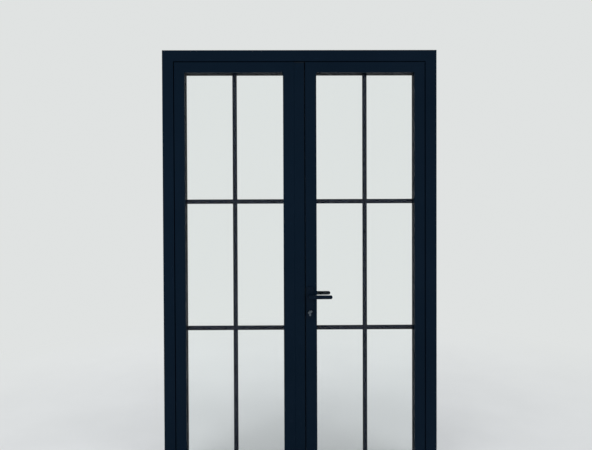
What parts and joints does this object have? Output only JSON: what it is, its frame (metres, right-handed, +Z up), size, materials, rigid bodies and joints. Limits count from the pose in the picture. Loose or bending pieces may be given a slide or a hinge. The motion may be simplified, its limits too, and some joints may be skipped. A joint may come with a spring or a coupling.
{
  "type": "french doors",
  "caption": "Pair of slim double-glazed french doors with glazing bars, hung in their own dark metal frame, with a floating mullion and a lever lock.",
  "frame": {"origin": "middle of the sill's underside, halfway through the frame's depth", "axes": "+X to the right seen from the room, +Y outdoors, +Z up"},
  "size_m": [1.5, 0.16, 2.35],
  "materials": {
    "frame_paint": "satin powder coat",
    "bar_paint": "satin powder coat",
    "clear_glass": "clear float",
    "black_rubber": "matt",
    "bright_steel": "brushed",
    "satin_nickel": "satin nickel",
    "black_lever": "satin black coat",
    "spacer_alloy": "black coat",
    "black_nylon": "moulded",
    "mill_alloy": "mill finish"
  },
  "bodies": {
    "frame": {"frame_head": "frame_paint", "frame_jamb_left": "frame_paint", "frame_jamb_right": "frame_paint", "frame_sill": "frame_paint", "frame_corner_cleats": "mill_alloy", "frame_seal": "black_rubber", "frame_bolt_keeps": "bright_steel", "frame_hinge_wings_left": "frame_paint", "frame_hinge_wings_right": "frame_paint", "frame_screws": "bright_steel", "hinge_pins": "bright_steel"},
    "passive_leaf": {"passive_hinge_stile": "frame_paint", "passive_meeting_stile": "frame_paint", "passive_top_rail": "frame_paint", "passive_bottom_rail": "frame_paint", "passive_corner_cleats": "mill_alloy", "passive_glazing_beads": "frame_paint", "passive_inner_pane": "clear_glass", "passive_outer_pane": "clear_glass", "passive_pane_spacer": "spacer_alloy", "passive_muntin_grid": "bar_paint", "passive_glazing_gaskets": "black_rubber", "passive_glass_packers": "black_nylon", "passive_hinge_wings": "frame_paint", "passive_screws": "bright_steel", "floating_mullion": "frame_paint", "mullion_end_caps": "black_nylon", "meeting_seal": "black_rubber", "lock_keep": "bright_steel", "flush_bolt_bodies": "bright_steel"},
    "active_leaf": {"active_rail_plugs": "black_nylon", "active_hinge_stile": "frame_paint", "active_meeting_stile": "frame_paint", "active_top_rail": "frame_paint", "active_bottom_rail": "frame_paint", "active_corner_cleats": "mill_alloy", "active_glazing_beads": "frame_paint", "active_inner_pane": "clear_glass", "active_outer_pane": "clear_glass", "active_pane_spacer": "spacer_alloy", "active_muntin_grid": "bar_paint", "active_glazing_gaskets": "black_rubber", "active_glass_packers": "black_nylon", "active_hinge_wings": "frame_paint", "active_screws": "bright_steel", "lock_case": "bright_steel", "lock_faceplate": "bright_steel", "cylinder_body": "satin_nickel", "handle_plate_inner": "black_lever", "handle_plate_outer": "black_lever"},
    "lever": {"lever_inner": "black_lever", "lever_outer": "black_lever", "lever_spindle": "bright_steel", "lock_follower": "bright_steel"},
    "latch": {"latch_bolt": "bright_steel"},
    "dead_bolt": {"dead_bolt": "bright_steel"},
    "thumbturn": {"thumbturn": "satin_nickel", "cylinder_cam": "bright_steel"},
    "flush_rod_top": {"flush_bolt_rod_top": "bright_steel"},
    "flush_rod_bottom": {"flush_bolt_rod_bottom": "bright_steel"}
  },
  "joints": [
    {"name": "passive_swing", "type": "hinge", "parent": "frame", "child": "passive_leaf", "pos_m": [-0.7, 0.0385, 1.165], "axis": [0, 0, 1], "range_deg": [0, 110]},
    {"name": "active_swing", "type": "hinge", "parent": "frame", "child": "active_leaf", "pos_m": [0.7, 0.0385, 1.165], "axis": [0, 0, -1], "range_deg": [0, 110]},
    {"name": "lever_turn", "type": "hinge", "parent": "active_leaf", "child": "lever", "pos_m": [0.053, 0, 1.005], "axis": [0, 1, 0], "range_deg": [0, 40], "stiffness_Nm_per_rad": 1.5, "springref_deg": -20.05},
    {"name": "latch_slide", "type": "slide", "parent": "active_leaf", "child": "latch", "axis": [1, 0, 0], "range_m": [0, 0.01]},
    {"name": "thumbturn_turn", "type": "hinge", "parent": "active_leaf", "child": "thumbturn", "pos_m": [0.053, 0, 0.92], "axis": [0, -1, 0], "range_deg": [0, 360]},
    {"name": "dead_bolt_slide", "type": "slide", "parent": "active_leaf", "child": "dead_bolt", "axis": [-1, 0, 0], "range_m": [0, 0.02]},
    {"name": "top_flush_bolt", "type": "slide", "parent": "passive_leaf", "child": "flush_rod_top", "axis": [0, 0, 1], "range_m": [0, 0.02]},
    {"name": "bottom_flush_bolt", "type": "slide", "parent": "passive_leaf", "child": "flush_rod_bottom", "axis": [0, 0, -1], "range_m": [0, 0.02]}
  ],
  "couplings": [
    {"joint": "latch_slide", "follows": "lever_turn", "m_per_rad": 0.014323},
    {"joint": "thumbturn_turn", "follows": "dead_bolt_slide", "rad_per_m": 314.16}
  ]
}
